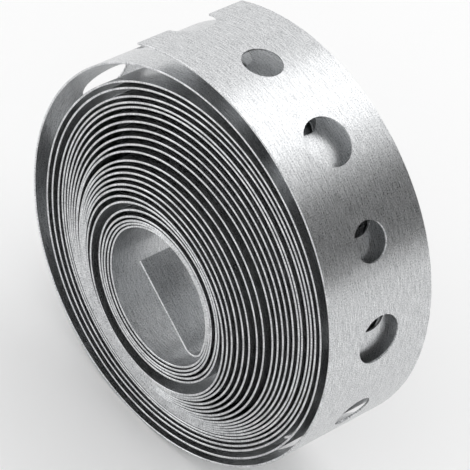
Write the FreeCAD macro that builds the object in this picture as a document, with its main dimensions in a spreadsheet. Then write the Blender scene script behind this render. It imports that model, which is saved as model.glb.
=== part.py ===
import FreeCAD, Part
import math
import os

# A coil of perforated steel strap: one long strip of thin galvanised steel, punched with two sizes of
# hole in turn, wound on itself and standing on its rim. X is to the right, Y along the coil's axis
# (the front end faces -Y) and Z up. The origin is on the floor, at the middle of the coil's breadth
# and depth.
#
# The strip is drawn as its edge: a chain of arcs seen from the front, each an eighth of a turn that
# joins the next one smoothly. Angles are measured clockwise from straight up, and go on counting from
# wrap to wrap. Where two wraps all but touch, the slit between them is closed.

os.makedirs("parts", exist_ok=True)
doc = FreeCAD.newDocument("perforated_strap_coil")

# Driving sizes, in millimetres and degrees
SIZES = (
    # The strip as it was rolled and slit
    ("strip_width", 19.05),
    ("strip_thickness", 0.30),
    # The bore, where the outermost wrap ends, and the way in which the coil is oval
    ("bore_radius", 8.88),
    ("free_end_angle", -29.3),
    ("long_side", 119.6),
    # The zones of the winding, from the outside in: how many wraps, the gap from one wrap to the next
    # where they lie open, the same on the side where they crowd together, which side that is, how far
    # the oval stands out, and how far the zone stands forward of the outermost wrap
    ("free_wraps", 1),
    ("free_open_gap", 2.78),
    ("free_tight_gap", 0.9),
    ("free_tight_side", 127),
    ("free_oval", 0.5),
    ("free_forward", 0.0),
    ("loose_wraps", 1),
    ("loose_open_gap", 1.39),
    ("loose_tight_gap", 0.79),
    ("loose_tight_side", 135),
    ("loose_oval", 0.42),
    ("loose_forward", 0.1),
    ("outer_wraps", 2),
    ("outer_open_gap", 0.86),
    ("outer_tight_gap", 0.05),
    ("outer_tight_side", 242),
    ("outer_oval", 0.67),
    ("outer_forward", 0.25),
    ("middle_wraps", 3),
    ("middle_open_gap", 0.65),
    ("middle_tight_gap", 0.05),
    ("middle_tight_side", 182),
    ("middle_oval", 0.5),
    ("middle_forward", 0.6),
    ("sprung_wraps", 6),
    ("sprung_open_gap", 1.02),
    ("sprung_tight_gap", 0.07),
    ("sprung_tight_side", 195),
    ("sprung_oval", 0.13),
    ("sprung_forward", 1.2),
    ("lower_wraps", 4),
    ("lower_open_gap", 0.52),
    ("lower_tight_gap", 0.1),
    ("lower_tight_side", 215),
    ("lower_oval", 0.2),
    ("lower_forward", 2.0),
    ("slack_wraps", 2),
    ("slack_open_gap", 1.45),
    ("slack_tight_gap", 0.63),
    ("slack_tight_side", 82),
    ("slack_oval", 0.16),
    ("slack_forward", 2.4),
    ("core_wraps", 6),
    ("core_open_gap", 0.275),
    ("core_tight_gap", 0.075),
    ("core_tight_side", 16),
    ("core_oval", 0.17),
    ("core_forward", 2.8),
    # The inner end, bent back across the bore
    ("tang_start_angle", 92),
    ("tang_finish_angle", 208),
    ("tang_bend_radius", 1.95),
    ("tang_length", 13.2),
    # Slits narrower than this are closed
    ("closed_gap", 0.53),
    # The punched holes, big and small in turn from the half hole at the free end; past the first few,
    # the last ones of the outermost wrap lie a little closer
    ("hole_pitch", 14.07),
    ("even_holes", 6),
    ("close_hole_pitch", 12.83),
    ("big_hole_diameter", 7.24),
    ("small_hole_diameter", 5.68),
    ("hole_row_offset", -0.27),
    ("hole_count", 12),
    # How far each punch reaches past the strip, outwards and inwards
    ("punch_above", 0.45),
    ("punch_below", 0.65),
)

sheet = doc.addObject("Spreadsheet::Sheet", "sizes")
for row, (alias, value) in enumerate(SIZES, start=1):
    sheet.set("A%d" % row, alias)
    sheet.set("B%d" % row, str(value))
    sheet.setAlias("B%d" % row, alias)
doc.recompute()


def size(alias):
    return float(getattr(sheet, alias))


THICKNESS = size("strip_thickness")
EIGHTH = 45
QUARTER = 90
HALF_TURN = 180
TURN = 360

# The strip's path

ZONES = ("free", "loose", "outer", "middle", "sprung", "lower", "slack", "core")
WRAP_ZONES = [zone for zone in ZONES for wrap in range(round(size(zone + "_wraps")))]
BEND_START = TURN * len(WRAP_ZONES) + size("tang_start_angle")
JOINTS = list(range(0, math.ceil(BEND_START), EIGHTH))


def direction(angle):
    """The point of the unit circle at an angle clockwise from straight up."""
    turn = math.radians(angle)
    return FreeCAD.Vector(math.sin(turn), 0, math.cos(turn))


def zone_at(angle):
    """The zone of the strip at an angle. Each zone's wraps start at the bottom."""
    wrap = math.floor((angle - HALF_TURN) / TURN)
    return WRAP_ZONES[min(max(wrap, 0), len(WRAP_ZONES) - 1)]


def joint_step(joint):
    """How much the strip's radius shrinks at a joint between two arcs.

    A wrap's gap is its distance to the next wrap inside it: the tight gap on the side where the wraps
    crowd together, the open gap opposite, and between them all the way round.
    """
    zone = zone_at(joint)
    open_gap = size(zone + "_open_gap")
    tight_gap = size(zone + "_tight_gap")
    crowding = math.cos(math.radians(joint - size(zone + "_tight_side")))
    pitch = THICKNESS + (open_gap + tight_gap) / 2
    return (pitch + (open_gap - tight_gap) * crowding) * EIGHTH / TURN


def oval_share(joint):
    """How much the oval takes off the radius of the arc that starts at a joint.

    A curve that stands out by a cosine of twice the angle is curved more by three times as much there.
    """
    middle = math.radians(joint + EIGHTH / 2 - size("long_side"))
    return 3 * size(zone_at(joint) + "_oval") * math.cos(2 * middle)


def strip_arcs():
    """The strip's outer side as arcs from the free end inwards: centre, radius, first and last angle."""
    arcs = []
    centre = FreeCAD.Vector(0, 0, 0)
    plain_radius = size("bore_radius") + THICKNESS + sum(joint_step(joint) for joint in JOINTS)
    radius = plain_radius - oval_share(-EIGHTH)
    angle = size("free_end_angle")
    for joint in JOINTS:
        arcs.append((centre, radius, angle, joint))
        plain_radius = plain_radius - joint_step(joint)
        following = plain_radius - oval_share(joint)
        centre = centre + direction(joint) * (radius - following)
        radius = following
        angle = joint
    arcs.append((centre, radius, angle, BEND_START))
    return arcs


ARCS = strip_arcs()
FREE_END = ARCS[0][2]


def side_point(angle, inset):
    """A point of the strip, inset from its outer side."""
    centre, radius, first, last = next(arc for arc in ARCS if angle <= arc[3])
    return centre + direction(angle) * (radius - inset)


MIDDLE_X = (side_point(QUARTER, 0).x + side_point(3 * QUARTER, 0).x) / 2
ORIGIN = FreeCAD.Vector(MIDDLE_X, 0, side_point(HALF_TURN, 0).z)


def side_edges(start, finish, inset):
    """One side of the strip between two angles, as arcs."""
    edges = []
    for centre, radius, first, last in ARCS:
        low = max(first, start)
        high = min(last, finish)
        if high - low > 1e-6:
            points = [centre + direction(angle) * (radius - inset) for angle in (low, (low + high) / 2, high)]
            edges.append(Part.Arc(*points).toShape())
    return edges


def line(start, finish):
    return Part.LineSegment(start, finish).toShape()


# The slits between the wraps


def gap_at(angle):
    """The slit between the wrap at an angle and the next wrap inside it."""
    return (side_point(angle, THICKNESS) - side_point(angle + TURN, 0)).dot(direction(angle))


def slits(start, finish):
    """The angles from and to which the slit inside a length of the strip is open."""
    closed = size("closed_gap")
    found = []
    opened = start if gap_at(start) > closed else None
    angle = start
    while angle < finish:
        following = min(angle + 1, finish)
        before = gap_at(angle) - closed
        after = gap_at(following) - closed
        if before * after < 0:
            crossing = angle + (following - angle) * before / (before - after)
            if opened is None:
                opened = crossing
            else:
                found.append((opened, crossing))
                opened = None
        angle = following
    if opened is not None:
        found.append((opened, finish))
    return found


def tang_edges():
    """The inner end from its outer side, round the bend and its tip, back to its inner side."""
    centre, radius, first, start = ARCS[-1]
    bend = size("tang_bend_radius")
    centre = centre + direction(start) * (radius - bend)
    finish = start + size("tang_finish_angle") - size("tang_start_angle")
    ahead = direction(finish + QUARTER) * size("tang_length")
    sides = []
    for inset in (0, THICKNESS):
        points = [centre + direction(angle) * (bend - inset) for angle in (start, (start + finish) / 2, finish)]
        sides.append((Part.Arc(*points).toShape(), points[-1]))
    (outer_bend, outer_root), (inner_bend, inner_root) = sides
    outer_tip = outer_root + ahead
    inner_tip = inner_root + ahead
    return [outer_bend, line(outer_root, outer_tip), line(outer_tip, inner_tip),
            line(inner_tip, inner_root), inner_bend]


def strip_end(finish):
    """The end of a length of the strip: the inner end itself, or the cut that the next length starts at."""
    if finish == BEND_START:
        return tang_edges()
    return [line(side_point(finish, 0), side_point(finish, THICKNESS))]


def wound_face(start, finish):
    """A length of the strip seen from the front, as one face with the open slits left out."""
    open_slits = slits(start, finish - TURN)
    beginning = line(side_point(start, 0), side_point(start, THICKNESS))
    # A slit that is open all along leaves the plain strip
    if open_slits == [(start, finish - TURN)]:
        edges = side_edges(start, finish, 0) + strip_end(finish) + side_edges(start, finish, THICKNESS)
        return Part.Face(Part.Wire(Part.__sortEdges__(edges + [beginning])))
    loops = []
    # The outer edge, which runs into the first slit where that one starts at the strip's end
    mouth = start
    if open_slits and open_slits[0][0] == start:
        mouth = open_slits.pop(0)[1]
    edges = side_edges(start, mouth + TURN, 0)
    edges.append(line(side_point(mouth + TURN, 0), side_point(mouth, THICKNESS)))
    edges += side_edges(start, mouth, THICKNESS)
    edges.append(beginning)
    loops.append(edges)
    # The inner edge, round the bore
    mouth = finish - TURN
    if open_slits and open_slits[-1][1] == mouth:
        mouth = open_slits.pop()[0]
    edges = side_edges(mouth, finish, THICKNESS) + strip_end(finish)
    edges += side_edges(mouth + TURN, finish, 0)
    edges.append(line(side_point(mouth + TURN, 0), side_point(mouth, THICKNESS)))
    loops.append(edges)
    # Each slit that is closed at both its ends
    for first, last in open_slits:
        edges = side_edges(first, last, THICKNESS)
        edges.append(line(side_point(last, THICKNESS), side_point(last + TURN, 0)))
        edges += side_edges(first + TURN, last + TURN, 0)
        edges.append(line(side_point(first + TURN, 0), side_point(first, THICKNESS)))
        loops.append(edges)
    wires = [Part.Wire(Part.__sortEdges__(edges)) for edges in loops]
    return Part.makeFace(wires, "Part::FaceMakerBullseye")


def zone_solid(zone, start, finish):
    """A zone of the winding: its profile drawn out to the strip's width and set forward."""
    profile = doc.addObject("Part::Feature", zone + "_profile")
    profile.Shape = wound_face(start, finish)
    profile.Placement = FreeCAD.Placement(FreeCAD.Vector(0, 0, 0) - ORIGIN, FreeCAD.Rotation())
    solid = doc.addObject("Part::Extrusion", zone + "_zone")
    solid.Base = profile
    solid.DirMode = "Custom"
    solid.Dir = FreeCAD.Vector(0, 1, 0)
    solid.Solid = True
    solid.setExpression("LengthFwd", "sizes.strip_width")
    solid.setExpression("Placement.Base.y",
                        "(sizes.core_forward - sizes.strip_width) / 2 - sizes.%s_forward" % zone)
    return solid


zone_solids = []
start = FREE_END
finish = HALF_TURN
for zone in ZONES:
    finish += TURN * round(size(zone + "_wraps"))
    if zone == ZONES[-1]:
        finish = BEND_START
    zone_solids.append(zone_solid(zone, start, finish))
    start = finish
doc.recompute()

winding = doc.addObject("Part::MultiFuse", "winding")
winding.Shapes = zone_solids
doc.recompute()

# The punched holes of the outermost wrap


def angle_along(length):
    """The angle of the point that lies a length of strip from the free end."""
    for centre, radius, first, last in ARCS:
        middle = radius - THICKNESS / 2
        arc_length = math.radians(last - first) * middle
        if length <= arc_length:
            return first + math.degrees(length / middle)
        length = length - arc_length
    return BEND_START


punches = []
even_holes = round(size("even_holes"))
for number in range(round(size("hole_count")) + 1):
    kind = "small" if number % 2 else "big"
    closer = max(number - even_holes, 0)
    angle = angle_along((number - closer) * size("hole_pitch") + closer * size("close_hole_pitch"))
    foot = side_point(angle, THICKNESS + size("punch_below")) - ORIGIN
    foot.y = size("core_forward") / 2 + size("hole_row_offset")
    punch = doc.addObject("Part::Cylinder", "punch_%02d" % number)
    punch.setExpression("Radius", "sizes.%s_hole_diameter / 2" % kind)
    punch.setExpression("Height", "sizes.strip_thickness + sizes.punch_below + sizes.punch_above")
    punch.Placement = FreeCAD.Placement(foot, FreeCAD.Rotation(FreeCAD.Vector(0, 0, 1), direction(angle)))
    punches.append(punch)

punched = doc.addObject("Part::MultiFuse", "punches")
punched.Shapes = punches
strap = doc.addObject("Part::Cut", "strap")
strap.Base = winding
strap.Tool = punched
strap.Label = "strap"
doc.recompute()

# Every object is sound and the coil is one solid

for item in doc.Objects:
    if "Invalid" in item.State or "Error" in item.State:
        raise RuntimeError("%s is in error" % item.Name)
    if item.isDerivedFrom("Part::Feature") and (item.Shape.isNull() or not item.Shape.isValid()):
        raise RuntimeError("%s has no valid shape" % item.Name)
if len(strap.Shape.Solids) != 1:
    raise RuntimeError("the strap is %d solids" % len(strap.Shape.Solids))
if not strap.Shape.Volume < winding.Shape.Volume - 10:
    raise RuntimeError("the holes cut nothing")

strap.Shape.exportStep("parts/strap.step")
box = strap.Shape.BoundBox
print("strap: %.1f x %.1f x %.1f mm, volume %.0f mm3, %d faces"
      % (box.XLength, box.YLength, box.ZLength, strap.Shape.Volume, len(strap.Shape.Faces)))
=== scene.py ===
# %% [markdown]
# # A coil of perforated steel strap
#
# The object is one long strip of galvanised steel, about 19 mm wide and 0.3 mm thick, punched with two
# sizes of hole in turn and wound on itself. In these cells the strip is first laid out flat, as the mill
# makes it, with every hole in its place. It is then wound up point by point, like a tape on a spool.
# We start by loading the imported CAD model, which is the frame that everything has to fit.

# %% Load the frame
import bpy
import math
import numpy as np
from mathutils import Matrix, Vector


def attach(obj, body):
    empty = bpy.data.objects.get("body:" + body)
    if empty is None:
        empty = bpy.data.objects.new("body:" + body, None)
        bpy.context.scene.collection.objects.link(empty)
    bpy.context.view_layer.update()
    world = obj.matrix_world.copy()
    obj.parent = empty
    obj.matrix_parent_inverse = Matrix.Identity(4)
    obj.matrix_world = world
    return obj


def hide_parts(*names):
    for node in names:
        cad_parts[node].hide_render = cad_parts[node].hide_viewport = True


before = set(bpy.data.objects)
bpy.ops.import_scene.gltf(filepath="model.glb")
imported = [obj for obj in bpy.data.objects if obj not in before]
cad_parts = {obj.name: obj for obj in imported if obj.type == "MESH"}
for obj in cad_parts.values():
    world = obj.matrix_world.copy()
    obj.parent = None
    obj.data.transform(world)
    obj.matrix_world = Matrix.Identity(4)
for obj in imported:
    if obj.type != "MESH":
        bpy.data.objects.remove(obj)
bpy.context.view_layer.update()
MM = 0.001

# %% [markdown]
# ## The sizes
#
# The strip and the way it is wound, in millimetres and degrees. Angles run clockwise from straight up, as
# seen from the front, and they go on counting from wrap to wrap. The winding has twelve zones from the
# outside in. Each gives the number of wraps, the gap between them where they lie open, the gap on the
# side where they crowd together, which side that is, and how far its oval stands out. The numbers of
# wraps were set one by one. The rest are rounded results of least-squares fits, made by separate scripts,
# to rims seen in the photo and, for the first zone, also to the coil's balance on the floor.

# %% Sizes
STRIP_WIDTH = 19.05
STRIP_THICKNESS = 0.30
EDGE_CHAMFER = 0.05
BORE_RADIUS = 9.11
FREE_END_ANGLE = -29.3
LONG_SIDE = 119.6
ZONES = (
    (1, 2.78, 0.90, 127, 0.50),
    (1, 1.11, 0.61, 38, 0.35),
    (2, 1.12, 0.18, 72, 0.41),
    (2, 0.39, 0.13, 72, 0.64),
    (5, 0.79, 0.04, 175, 0.68),
    (2, 1.10, 0.05, 185, 0.87),
    (4, 0.72, 0.04, 213, 1.02),
    (2, 0.62, 0.05, 172, 1.04),
    (1, 1.86, 0.36, 3, 0.84),
    (1, 0.31, 0.03, 313, 0.75),
    (1, 1.07, 0.05, 192, 0.71),
    (3, 0.27, 0.08, 26, 0.70),
)
TANG_START_ANGLE = 100
TANG_FINISH_ANGLE = 208
TANG_BEND_RADIUS = 1.95
TANG_LENGTH = 13.2
HOLE_PITCH = 14.07
CLOSE_HOLE_PITCH = 12.83
CLOSE_HOLES = (6, 12)
HOLE_RADII = (3.62, 2.84)
HOLE_ROW_OFFSET = -0.27
# How far the strip stands forward of its outermost wrap, after so many wraps
FORWARD_AFTER = ((0, 0.0), (2, 0.1), (7, 0.8), (13, 1.7), (17, 2.3), (19, 2.6), (22, 2.8), (25.3, 2.5))
MOST_FORWARD = max(amount for wraps, amount in FORWARD_AFTER)

# %% [markdown]
# ## The path of the winding
#
# A real coil is never a perfect spiral: it springs open on one side, stays pressed together on the other
# and sits a little oval. A chain of arcs, each an eighth of a turn, draws that well. At each joint the
# radius changes a little and the centre moves the same little way along the joint's own direction, so
# the two arcs share their tangent there and no kink can show.

# %% The chain of arcs
EIGHTH = 45
TURN = 360
WRAP_ZONES = [zone for zone in ZONES for wrap in range(zone[0])]
BEND_START = TURN * len(WRAP_ZONES) + TANG_START_ANGLE
JOINTS = range(0, BEND_START, EIGHTH)


def on_circle(angle):
    turn = math.radians(angle)
    return np.array([math.sin(turn), math.cos(turn)])


def zone_at(angle):
    wrap = (angle - TURN // 2) // TURN
    return WRAP_ZONES[min(max(wrap, 0), len(WRAP_ZONES) - 1)]


def joint_step(joint):
    """How much a joint takes off the radius: more where the wraps lie open, less where they crowd."""
    wraps, open_gap, tight_gap, tight_side, oval = zone_at(joint)
    pitch = STRIP_THICKNESS + (open_gap + tight_gap) / 2
    return (pitch + (open_gap - tight_gap) * math.cos(math.radians(joint - tight_side))) * EIGHTH / TURN


def oval_share(joint):
    """What the oval takes off the radius of the arc that starts at a joint."""
    middle = math.radians(joint + EIGHTH / 2 - LONG_SIDE)
    return 3 * zone_at(joint)[4] * math.cos(2 * middle)


def winding_arcs():
    """The middle of the strip's thickness as arcs from the outside in: centre, radius, two angles."""
    half = STRIP_THICKNESS / 2
    centre = np.zeros(2)
    plain_radius = BORE_RADIUS + STRIP_THICKNESS + sum(joint_step(joint) for joint in JOINTS)
    radius = plain_radius - oval_share(-EIGHTH)
    angle = FREE_END_ANGLE
    arcs = []
    for joint in JOINTS:
        arcs.append((centre, radius - half, angle, joint))
        plain_radius -= joint_step(joint)
        following = plain_radius - oval_share(joint)
        centre = centre + on_circle(joint) * (radius - following)
        radius = following
        angle = joint
    arcs.append((centre, radius - half, angle, BEND_START))
    centre = centre + on_circle(BEND_START) * (radius - TANG_BEND_RADIUS)
    bend_finish = BEND_START + TANG_FINISH_ANGLE - TANG_START_ANGLE
    arcs.append((centre, TANG_BEND_RADIUS - half, BEND_START, bend_finish))
    return arcs


ARCS = winding_arcs()
ARC_LENGTHS = [radius * math.radians(last - first) for centre, radius, first, last in ARCS]
ARC_STARTS = np.concatenate(([0.0], np.cumsum(ARC_LENGTHS)))
STRIP_LENGTH = ARC_STARTS[-1] + TANG_LENGTH
RIGHT, BOTTOM, LEFT = [arc[0] + on_circle(arc[3]) * (arc[1] + STRIP_THICKNESS / 2)
                       for arc in (ARCS[2], ARCS[4], ARCS[6])]
ORIGIN = np.array([(LEFT[0] + RIGHT[0]) / 2, BOTTOM[1]])
print("strip length, mm:", round(STRIP_LENGTH, 1), "wraps:", round((ARCS[-1][2] - FREE_END_ANGLE) / 360, 2))

# %% [markdown]
# ## From a length of strip to a place in space
#
# Every point of the flat strip has a length along it, a place across it and a height above the middle of
# its thickness. This function bends the length onto the arcs. The last few millimetres are the tang, the
# straight inner end. The wraps also creep forward, one after another, as they do when a coil is taken
# off its spool, so the front of the coil is a very shallow cone.

# %% Winding up points of the flat strip
def wind(along, across, above):
    """Points of the flat strip, in millimetres, as points of the coil, in metres."""
    x = np.zeros_like(along)
    z = np.zeros_like(along)
    wraps = np.zeros_like(along)
    for index, (centre, radius, first, last) in enumerate(ARCS):
        start = ARC_STARTS[index]
        here = (along >= start) if index == 0 else (along > start)
        here &= along <= ARC_STARTS[index + 1]
        angle = first + np.degrees((along[here] - start) / radius)
        turn = np.radians(angle)
        x[here] = centre[0] + np.sin(turn) * (radius + above[here])
        z[here] = centre[1] + np.cos(turn) * (radius + above[here])
        wraps[here] = (angle - FREE_END_ANGLE) / 360
    centre, radius, first, last = ARCS[-1]
    outward = on_circle(last)
    ahead = on_circle(last + 90)
    here = along > ARC_STARTS[-1]
    beyond = along[here] - ARC_STARTS[-1]
    x[here] = centre[0] + outward[0] * (radius + above[here]) + ahead[0] * beyond
    z[here] = centre[1] + outward[1] * (radius + above[here]) + ahead[1] * beyond
    wraps[here] = (last - FREE_END_ANGLE) / 360
    after, amount = zip(*FORWARD_AFTER)
    forward = np.interp(wraps, after, amount)
    y = across - forward + MOST_FORWARD / 2
    return np.column_stack((x - ORIGIN[0], y, z - ORIGIN[1])) * MM


# %% [markdown]
# ## Laying out the columns of the flat strip
#
# The strip's mesh is a row of columns that run across it. Each hole gets columns placed by the cosine of
# an even angle, so that they crowd together at its ends, where a circle turns fastest. Plain steel
# between two holes gets even columns, close enough that a wrap of the core still looks round. The holes
# are evenly pitched, apart from the last six of the outermost wrap, which lie a little closer.

# %% Columns
HOLE_COLUMNS = 12
PLAIN_COLUMN_SPACING = 1.1
TANG_COLUMN_SPACING = 0.3
END_MARGIN = 0.5


def hole_middle(number):
    closer = min(max(number - CLOSE_HOLES[0], 0), CLOSE_HOLES[1] - CLOSE_HOLES[0])
    return (number - closer) * HOLE_PITCH + closer * CLOSE_HOLE_PITCH


def strip_columns():
    """Length along the strip and half height of the hole there; a height of -1 is plain steel."""
    columns = []
    last_end = None
    number = 0
    while True:
        middle = hole_middle(number)
        radius = HOLE_RADII[number % 2]
        if middle + radius + END_MARGIN > STRIP_LENGTH:
            break
        angles = np.linspace(math.pi, 0, HOLE_COLUMNS + 1)
        if number == 0:
            angles = angles[HOLE_COLUMNS // 2:]
        hole = [(middle + radius * math.cos(a), abs(radius * math.sin(a))) for a in angles]
        if last_end is not None:
            gap = hole[0][0] - last_end
            fine = last_end > ARC_STARTS[-2] - HOLE_PITCH
            count = math.ceil(gap / (TANG_COLUMN_SPACING if fine else PLAIN_COLUMN_SPACING))
            columns += [(last_end + gap * i / count, -1.0) for i in range(1, count)]
        columns += hole
        last_end = hole[-1][0]
        number += 1
    gap = STRIP_LENGTH - last_end
    count = math.ceil(gap / TANG_COLUMN_SPACING)
    columns += [(last_end + gap * i / count, -1.0) for i in range(1, count + 1)]
    return np.array(columns), number


COLUMNS, HOLES = strip_columns()
print("columns:", len(COLUMNS), "holes, with the half one at the free end:", HOLES)

# %% [markdown]
# ## The strip's mesh
#
# Each column carries sixteen points: four round each edge of the strip, for its chamfer and its slit
# side, and four round each lip of the hole. Where there is no hole, the lips close to one point on each
# face. Two columns next to each other are joined by strips of four-sided faces. The points are worked
# out flat and wound up in one go.

# %% Build the strip
def strip_mesh():
    along = []
    across = []
    above = []
    rings = []
    half_width = STRIP_WIDTH / 2
    face = STRIP_THICKNESS / 2
    side = face - EDGE_CHAMFER

    def point(length, place, height):
        along.append(length)
        across.append(place)
        above.append(height)
        return len(along) - 1

    for length, hole in COLUMNS:
        open_hole = hole > 0.01
        low = [point(length, -half_width + EDGE_CHAMFER, face), point(length, -half_width, side),
               point(length, -half_width, -side), point(length, -half_width + EDGE_CHAMFER, -face)]
        high = [point(length, half_width - EDGE_CHAMFER, face), point(length, half_width, side),
                point(length, half_width, -side), point(length, half_width - EDGE_CHAMFER, -face)]
        if open_hole:
            rims = []
            for sign in (-1, 1):
                inner = HOLE_ROW_OFFSET + sign * hole
                outer = HOLE_ROW_OFFSET + sign * (hole + EDGE_CHAMFER)
                rims.append([point(length, outer, face), point(length, inner, side),
                             point(length, inner, -side), point(length, outer, -face)])
            low_rim, high_rim = rims
        else:
            top = point(length, HOLE_ROW_OFFSET, face)
            bottom = point(length, HOLE_ROW_OFFSET, -face)
            low_rim = high_rim = [top, None, None, bottom]
            if hole >= 0:
                low_rim = high_rim = [top, point(length, HOLE_ROW_OFFSET, side),
                                      point(length, HOLE_ROW_OFFSET, -side), bottom]
        rings.append((low, low_rim, high_rim, high))

    faces = []
    for here, (ring, following) in enumerate(zip(rings, rings[1:])):
        low, low_rim, high_rim, high = ring
        low_2, low_rim_2, high_rim_2, high_2 = following
        faces.append((low[0], low_2[0], low_rim_2[0], low_rim[0]))
        faces.append((high_rim[0], high_rim_2[0], high_2[0], high[0]))
        faces.append((low[3], low_rim[3], low_rim_2[3], low_2[3]))
        faces.append((high_rim[3], high[3], high_2[3], high_rim_2[3]))
        in_hole = COLUMNS[here][1] >= 0 and COLUMNS[here + 1][1] >= 0
        for k in range(3):
            faces.append((low[k], low[k + 1], low_2[k + 1], low_2[k]))
            faces.append((high[k], high_2[k], high_2[k + 1], high[k + 1]))
            if in_hole:
                faces.append((low_rim[k], low_rim_2[k], low_rim_2[k + 1], low_rim[k + 1]))
                faces.append((high_rim[k], high_rim[k + 1], high_rim_2[k + 1], high_rim_2[k]))
    low, low_rim, high_rim, high = rings[0]
    faces.append(tuple(low_rim + low[::-1]))
    faces.append(tuple(high + high_rim[::-1]))
    low, low_rim, high_rim, high = rings[-1]
    faces.append(tuple(low + [low_rim[3]] + high[::-1] + [low_rim[0]]))

    along, across, above = np.array(along), np.array(across), np.array(above)
    mesh = bpy.data.meshes.new("strap")
    mesh.from_pydata(wind(along, across, above).tolist(), [], faces)
    layer = mesh.uv_layers.new(name="along_and_across")
    corners = np.zeros(len(mesh.loops), dtype=np.int32)
    mesh.loops.foreach_get("vertex_index", corners)
    flat = np.column_stack((along[corners], across[corners])) * MM
    layer.data.foreach_set("uv", flat.ravel())
    mesh.validate()
    mesh.polygons.foreach_set("use_smooth", [True] * len(mesh.polygons))
    mesh.set_sharp_from_angle(angle=math.radians(30))
    return mesh


strap = bpy.data.objects.new("strap_wound", strip_mesh())
bpy.context.scene.collection.objects.link(strap)
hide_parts("strap")
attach(strap, "root")
triangles = sum(len(polygon.vertices) - 2 for polygon in strap.data.polygons)
print("strap triangles:", triangles)

# %% [markdown]
# ## Galvanised steel
#
# The strip is cold-rolled steel with a thin coat of zinc. The rolls leave fine lines along it, about
# 2 mm long and a fifth of a millimetre wide, and the zinc leaves a grain of the same fineness. Both go
# into the colour, the roughness and a very low bump, so the reflections are soft and a little grainy.
# The real grain is finer still, and is drawn just coarse enough to show. Noise textures in the flat
# strip's own coordinates fit this best, because the lines then follow the strip round every wrap.

# %% The finish
LINE_LENGTH = 2.0
LINE_WIDTH = 0.18
GRAIN = 0.19
GRAIN_SHARE = 0.6
BUMP_HEIGHT = 0.02
ZINC_TINTS = ((0.38, "#a0a2a4"), (0.62, "#f0f1f2"))
ROUGHNESS_RANGE = (0.24, 0.38)


def linear(code):
    """An sRGB hex code as a linear colour."""
    values = [int(code[i:i + 2], 16) / 255 for i in (1, 3, 5)]
    return [v / 12.92 if v <= 0.04045 else ((v + 0.055) / 1.055) ** 2.4 for v in values] + [1.0]


def add_node(tree, kind, settings=None, links=None):
    """A node with its attributes and inputs set, and its inputs linked."""
    node = tree.nodes.new(kind)
    for name, value in (settings or {}).items():
        if isinstance(name, str) and hasattr(node, name):
            setattr(node, name, value)
        else:
            node.inputs[name].default_value = value
    for name, source in (links or {}).items():
        tree.links.new(source, node.inputs[name])
    return node


def galvanised_steel():
    material = bpy.data.materials.new("galvanised_steel_rolled")
    material.use_nodes = True
    tree = material.node_tree
    tree.nodes.clear()
    flat = add_node(tree, "ShaderNodeUVMap", {"uv_map": "along_and_across"})
    per_metre = (1 / (LINE_LENGTH * MM), 1 / (LINE_WIDTH * MM), 1.0)
    lines_at = add_node(tree, "ShaderNodeVectorMath", {"operation": "MULTIPLY", 1: per_metre},
                        {0: flat.outputs["UV"]})
    lines = add_node(tree, "ShaderNodeTexNoise", {"Scale": 1.0, "Detail": 3.0, "Roughness": 0.6},
                     {"Vector": lines_at.outputs["Vector"]})
    grain = add_node(tree, "ShaderNodeTexNoise",
                     {"Scale": 1 / (GRAIN * MM), "Detail": 2.0, "Roughness": 0.6},
                     {"Vector": flat.outputs["UV"]})
    blend = add_node(tree, "ShaderNodeMix", {"data_type": "FLOAT", "Factor": GRAIN_SHARE})
    tree.links.new(lines.outputs["Fac"], blend.inputs[2])
    tree.links.new(grain.outputs["Fac"], blend.inputs[3])
    tint = add_node(tree, "ShaderNodeValToRGB", {}, {"Fac": blend.outputs[0]})
    for element, (position, colour) in zip(tint.color_ramp.elements, ZINC_TINTS):
        element.position = position
        element.color = linear(colour)
    rough = add_node(tree, "ShaderNodeMapRange",
                     {"From Min": 0.3, "From Max": 0.7, "To Min": ROUGHNESS_RANGE[0],
                      "To Max": ROUGHNESS_RANGE[1]}, {"Value": blend.outputs[0]})
    bump = add_node(tree, "ShaderNodeBump", {"Strength": 0.45, "Distance": BUMP_HEIGHT * MM},
                    {"Height": blend.outputs[0]})
    steel = add_node(tree, "ShaderNodeBsdfPrincipled", {"Metallic": 1.0},
                     {"Base Color": tint.outputs["Color"], "Roughness": rough.outputs["Result"],
                      "Normal": bump.outputs["Normal"]})
    add_node(tree, "ShaderNodeOutputMaterial", {}, {"Surface": steel.outputs["BSDF"]})
    return material


strap.data.materials.append(galvanised_steel())
print("material:", strap.data.materials[0].name)

# %% [markdown]
# ## The studio
#
# The coil stands here the way it comes to rest when it is let go. For the photograph it was rolled a
# little further, so the lamps and the camera, whose places were found in the photograph's own frame, are
# turned by the same angle round the coil's axis.

# %% From the photograph's frame to this one
ROLLED = math.radians(20)


def turned(x, y, z):
    """A direction or a place of the photograph's frame, in the frame of this scene."""
    across = x * math.cos(ROLLED) - z * math.sin(ROLLED)
    upward = x * math.sin(ROLLED) + z * math.cos(ROLLED)
    return Vector((across, y, upward))


print("straight up in the photograph is here:", [round(v, 2) for v in turned(0, 0, 1)])

# %% [markdown]
# A pale floor, a soft lamp high behind the coil and a wide one in front. Polished metal only shows what
# stands round it, so a grey card to the right of the coil gives its side the dark band that makes it
# read as steel.

# %% Floor, card, lamps and world
def flat_piece(name, corners, colour, roughness=0.6):
    """A flat matt piece of the studio, which is no part of the coil."""
    mesh = bpy.data.meshes.new(name)
    mesh.from_pydata(corners, [], [tuple(range(len(corners)))])
    piece = bpy.data.objects.new(name, mesh)
    bpy.context.scene.collection.objects.link(piece)
    material = bpy.data.materials.new(name)
    material.use_nodes = True
    shader = material.node_tree.nodes["Principled BSDF"]
    shader.inputs["Base Color"].default_value = linear(colour)
    shader.inputs["Roughness"].default_value = roughness
    mesh.materials.append(material)
    return piece


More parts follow.
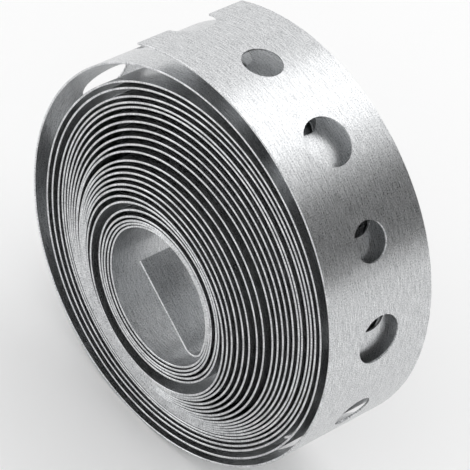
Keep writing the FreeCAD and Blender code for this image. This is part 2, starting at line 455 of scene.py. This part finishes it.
FLOOR = 3.0
floor_corners = [(-FLOOR, -FLOOR, 0), (FLOOR, -FLOOR, 0), (FLOOR, FLOOR, 0), (-FLOOR, FLOOR, 0)]
flat_piece("floor", floor_corners, "#f4f4f4")

# The card shows in reflections alone: it casts no shadow and takes no light from the floor.
CARD_DISTANCE = 0.6
CARD_HALF_HEIGHT = 0.35
card_top = turned(0.59, 0.606, 0.53).normalized()
card_foot = turned(0.79, 0.606, -0.08).normalized()
card_along = card_top.cross(card_foot).normalized() * CARD_HALF_HEIGHT
card_corners = [card_top * CARD_DISTANCE + card_along, card_top * CARD_DISTANCE - card_along,
                card_foot * CARD_DISTANCE - card_along, card_foot * CARD_DISTANCE + card_along]
card = flat_piece("grey_card", card_corners, "#626262")
card.visible_camera = False
card.visible_diffuse = False
card.visible_shadow = False
print("the card's lowest corner, mm:", round(min(corner.z for corner in card_corners) / MM))


COIL_MIDDLE = Vector((0, 0, 0.03))


def soft_lamp(name, towards, distance, width, height, power):
    """A soft lamp of so many watts that faces the coil, with all lengths in metres."""
    lamp = bpy.data.lights.new(name, "AREA")
    lamp.shape = "RECTANGLE"
    lamp.size = width
    lamp.size_y = height
    lamp.energy = power
    holder = bpy.data.objects.new(name, lamp)
    direction = towards.normalized()
    holder.location = COIL_MIDDLE + direction * distance
    holder.rotation_euler = direction.to_track_quat("Z", "Y").to_euler()
    bpy.context.scene.collection.objects.link(holder)
    return holder


soft_lamp("lamp_above_behind", turned(0.17, 0.61, 0.77), 0.8, 0.42, 0.5, 0.62)
soft_lamp("lamp_front_left", turned(-0.6, -0.7, 0.5), 1.0, 0.6, 0.6, 1.3)

world = bpy.data.worlds.new("studio")
bpy.context.scene.world = world
world.use_nodes = True
sky = world.node_tree
sky.nodes.clear()
path = add_node(sky, "ShaderNodeLightPath")
seen = add_node(sky, "ShaderNodeMath", {"operation": "MAXIMUM"},
                {0: path.outputs["Is Camera Ray"], 1: path.outputs["Is Glossy Ray"]})
seen = add_node(sky, "ShaderNodeMath", {"operation": "MAXIMUM"},
                {0: seen.outputs[0], 1: path.outputs["Is Transmission Ray"]})
strength = add_node(sky, "ShaderNodeMapRange", {"To Min": 0.98, "To Max": 1.0},
                    {"Value": seen.outputs[0]})
light = add_node(sky, "ShaderNodeBackground", {"Color": (1, 1, 1, 1)},
                 {"Strength": strength.outputs["Result"]})
add_node(sky, "ShaderNodeOutputWorld", {}, {"Surface": light.outputs["Background"]})

# %% [markdown]
# ## The camera
#
# The photograph was taken from the right, in front and above, through a long lens. The place was found
# by fitting the rims and the holes of the coil to the picture.

# %% Camera
SENSOR = 36.0
PICTURE = 470.0
FOCAL_PIXELS = 3049.41
CAMERA_AT = (261.774, -250.590, 202.711)
WINDING_SHIFT = Vector((-1.422, 0.0, -0.143))
AZIMUTH = math.radians(46.003)
ELEVATION = math.radians(29.204)

backward = Vector((math.cos(ELEVATION) * math.sin(AZIMUTH), -math.cos(ELEVATION) * math.cos(AZIMUTH),
                   math.sin(ELEVATION)))
right = Vector((math.cos(AZIMUTH), math.sin(AZIMUTH), 0))
up = backward.cross(right)
axes = [turned(*axis) for axis in (right, up, backward)]
camera = bpy.data.objects.new("camera", bpy.data.cameras.new("camera"))
bpy.context.scene.collection.objects.link(camera)
place = turned(*CAMERA_AT) - WINDING_SHIFT - Vector((ORIGIN[0], -MOST_FORWARD / 2, ORIGIN[1]))
camera.matrix_world = Matrix.Translation(place * MM) @ Matrix(axes).transposed().to_4x4()
camera.data.sensor_width = SENSOR
camera.data.lens = FOCAL_PIXELS * SENSOR / PICTURE
camera.data.clip_start = 0.01  # metres
bpy.context.scene.camera = camera
bpy.context.scene.view_settings.view_transform = "Standard"
print("lens, mm:", round(camera.data.lens, 1))
